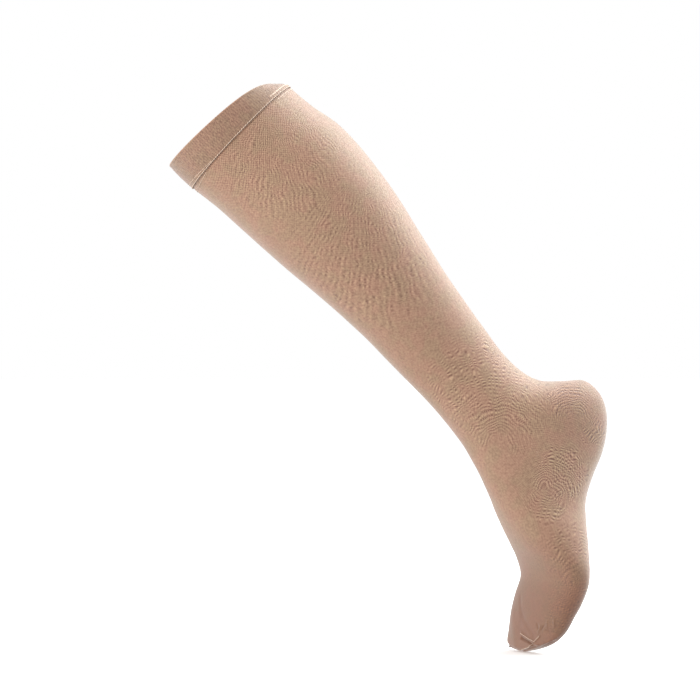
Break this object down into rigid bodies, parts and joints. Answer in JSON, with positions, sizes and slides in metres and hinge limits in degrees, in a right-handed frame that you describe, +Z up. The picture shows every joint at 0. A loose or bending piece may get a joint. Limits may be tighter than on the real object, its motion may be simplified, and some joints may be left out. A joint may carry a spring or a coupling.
{
  "type": "closed-toe knee-high compression stocking, worn, left leg",
  "caption": "Knee-high closed-toe compression stocking with a double welt band, heel pocket and seamed toe, held in its worn form, knee bent and foot pointing down.",
  "frame": {"origin": "centre of the top opening, where the leg goes in", "axes": "+Z up, -X the way the wearer faces, +Y towards the inner side of the left leg; the shin slants 46 degrees from upright, down towards +X"},
  "size_m": [0.3782, 0.1084, 0.4876],
  "materials": {
    "band_knit": "matt double knit, beige",
    "leg_knit": "matt fine elastic knit, beige",
    "toe_knit": "matt dense knit, darker beige"
  },
  "bodies": {
    "root": {"top_band": "band_knit", "leg_calf": "leg_knit", "leg_shank": "leg_knit", "leg_ankle": "leg_knit", "heel": "leg_knit", "foot": "leg_knit", "toe": "toe_knit"}
  },
  "joints": []
}
